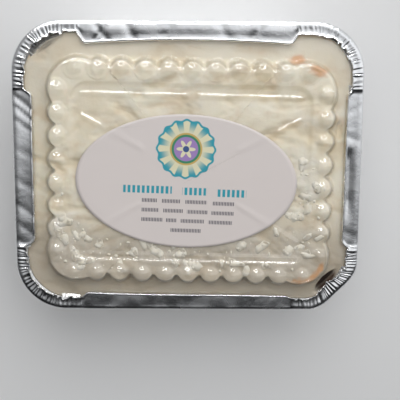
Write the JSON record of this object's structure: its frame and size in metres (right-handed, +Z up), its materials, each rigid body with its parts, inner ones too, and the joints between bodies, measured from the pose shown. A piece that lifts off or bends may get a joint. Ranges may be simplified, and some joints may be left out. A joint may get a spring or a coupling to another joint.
{
  "type": "coconut cake in a foil tray",
  "caption": "Frosted coconut cake in an oblong foil tray, shut by a clear lid with a beaded border and an oval paper label under the folded rim.",
  "frame": {"origin": "centre of the underside of the tray's base", "axes": "+X along the long side, +Y towards the label's upper edge, +Z up through the lid"},
  "size_m": [0.1414, 0.118, 0.0509],
  "materials": {
    "foil": "bright rolled foil with fine creases",
    "clear_plastic": "clear and glossy",
    "label_paper": "smooth white paper with a soft sheen",
    "frosting": "moist cream-white frosting with shredded coconut"
  },
  "bodies": {
    "root": {"foil_tray": "foil", "lid": "clear_plastic", "label": "label_paper", "coconut_cake": "frosting"}
  },
  "joints": []
}
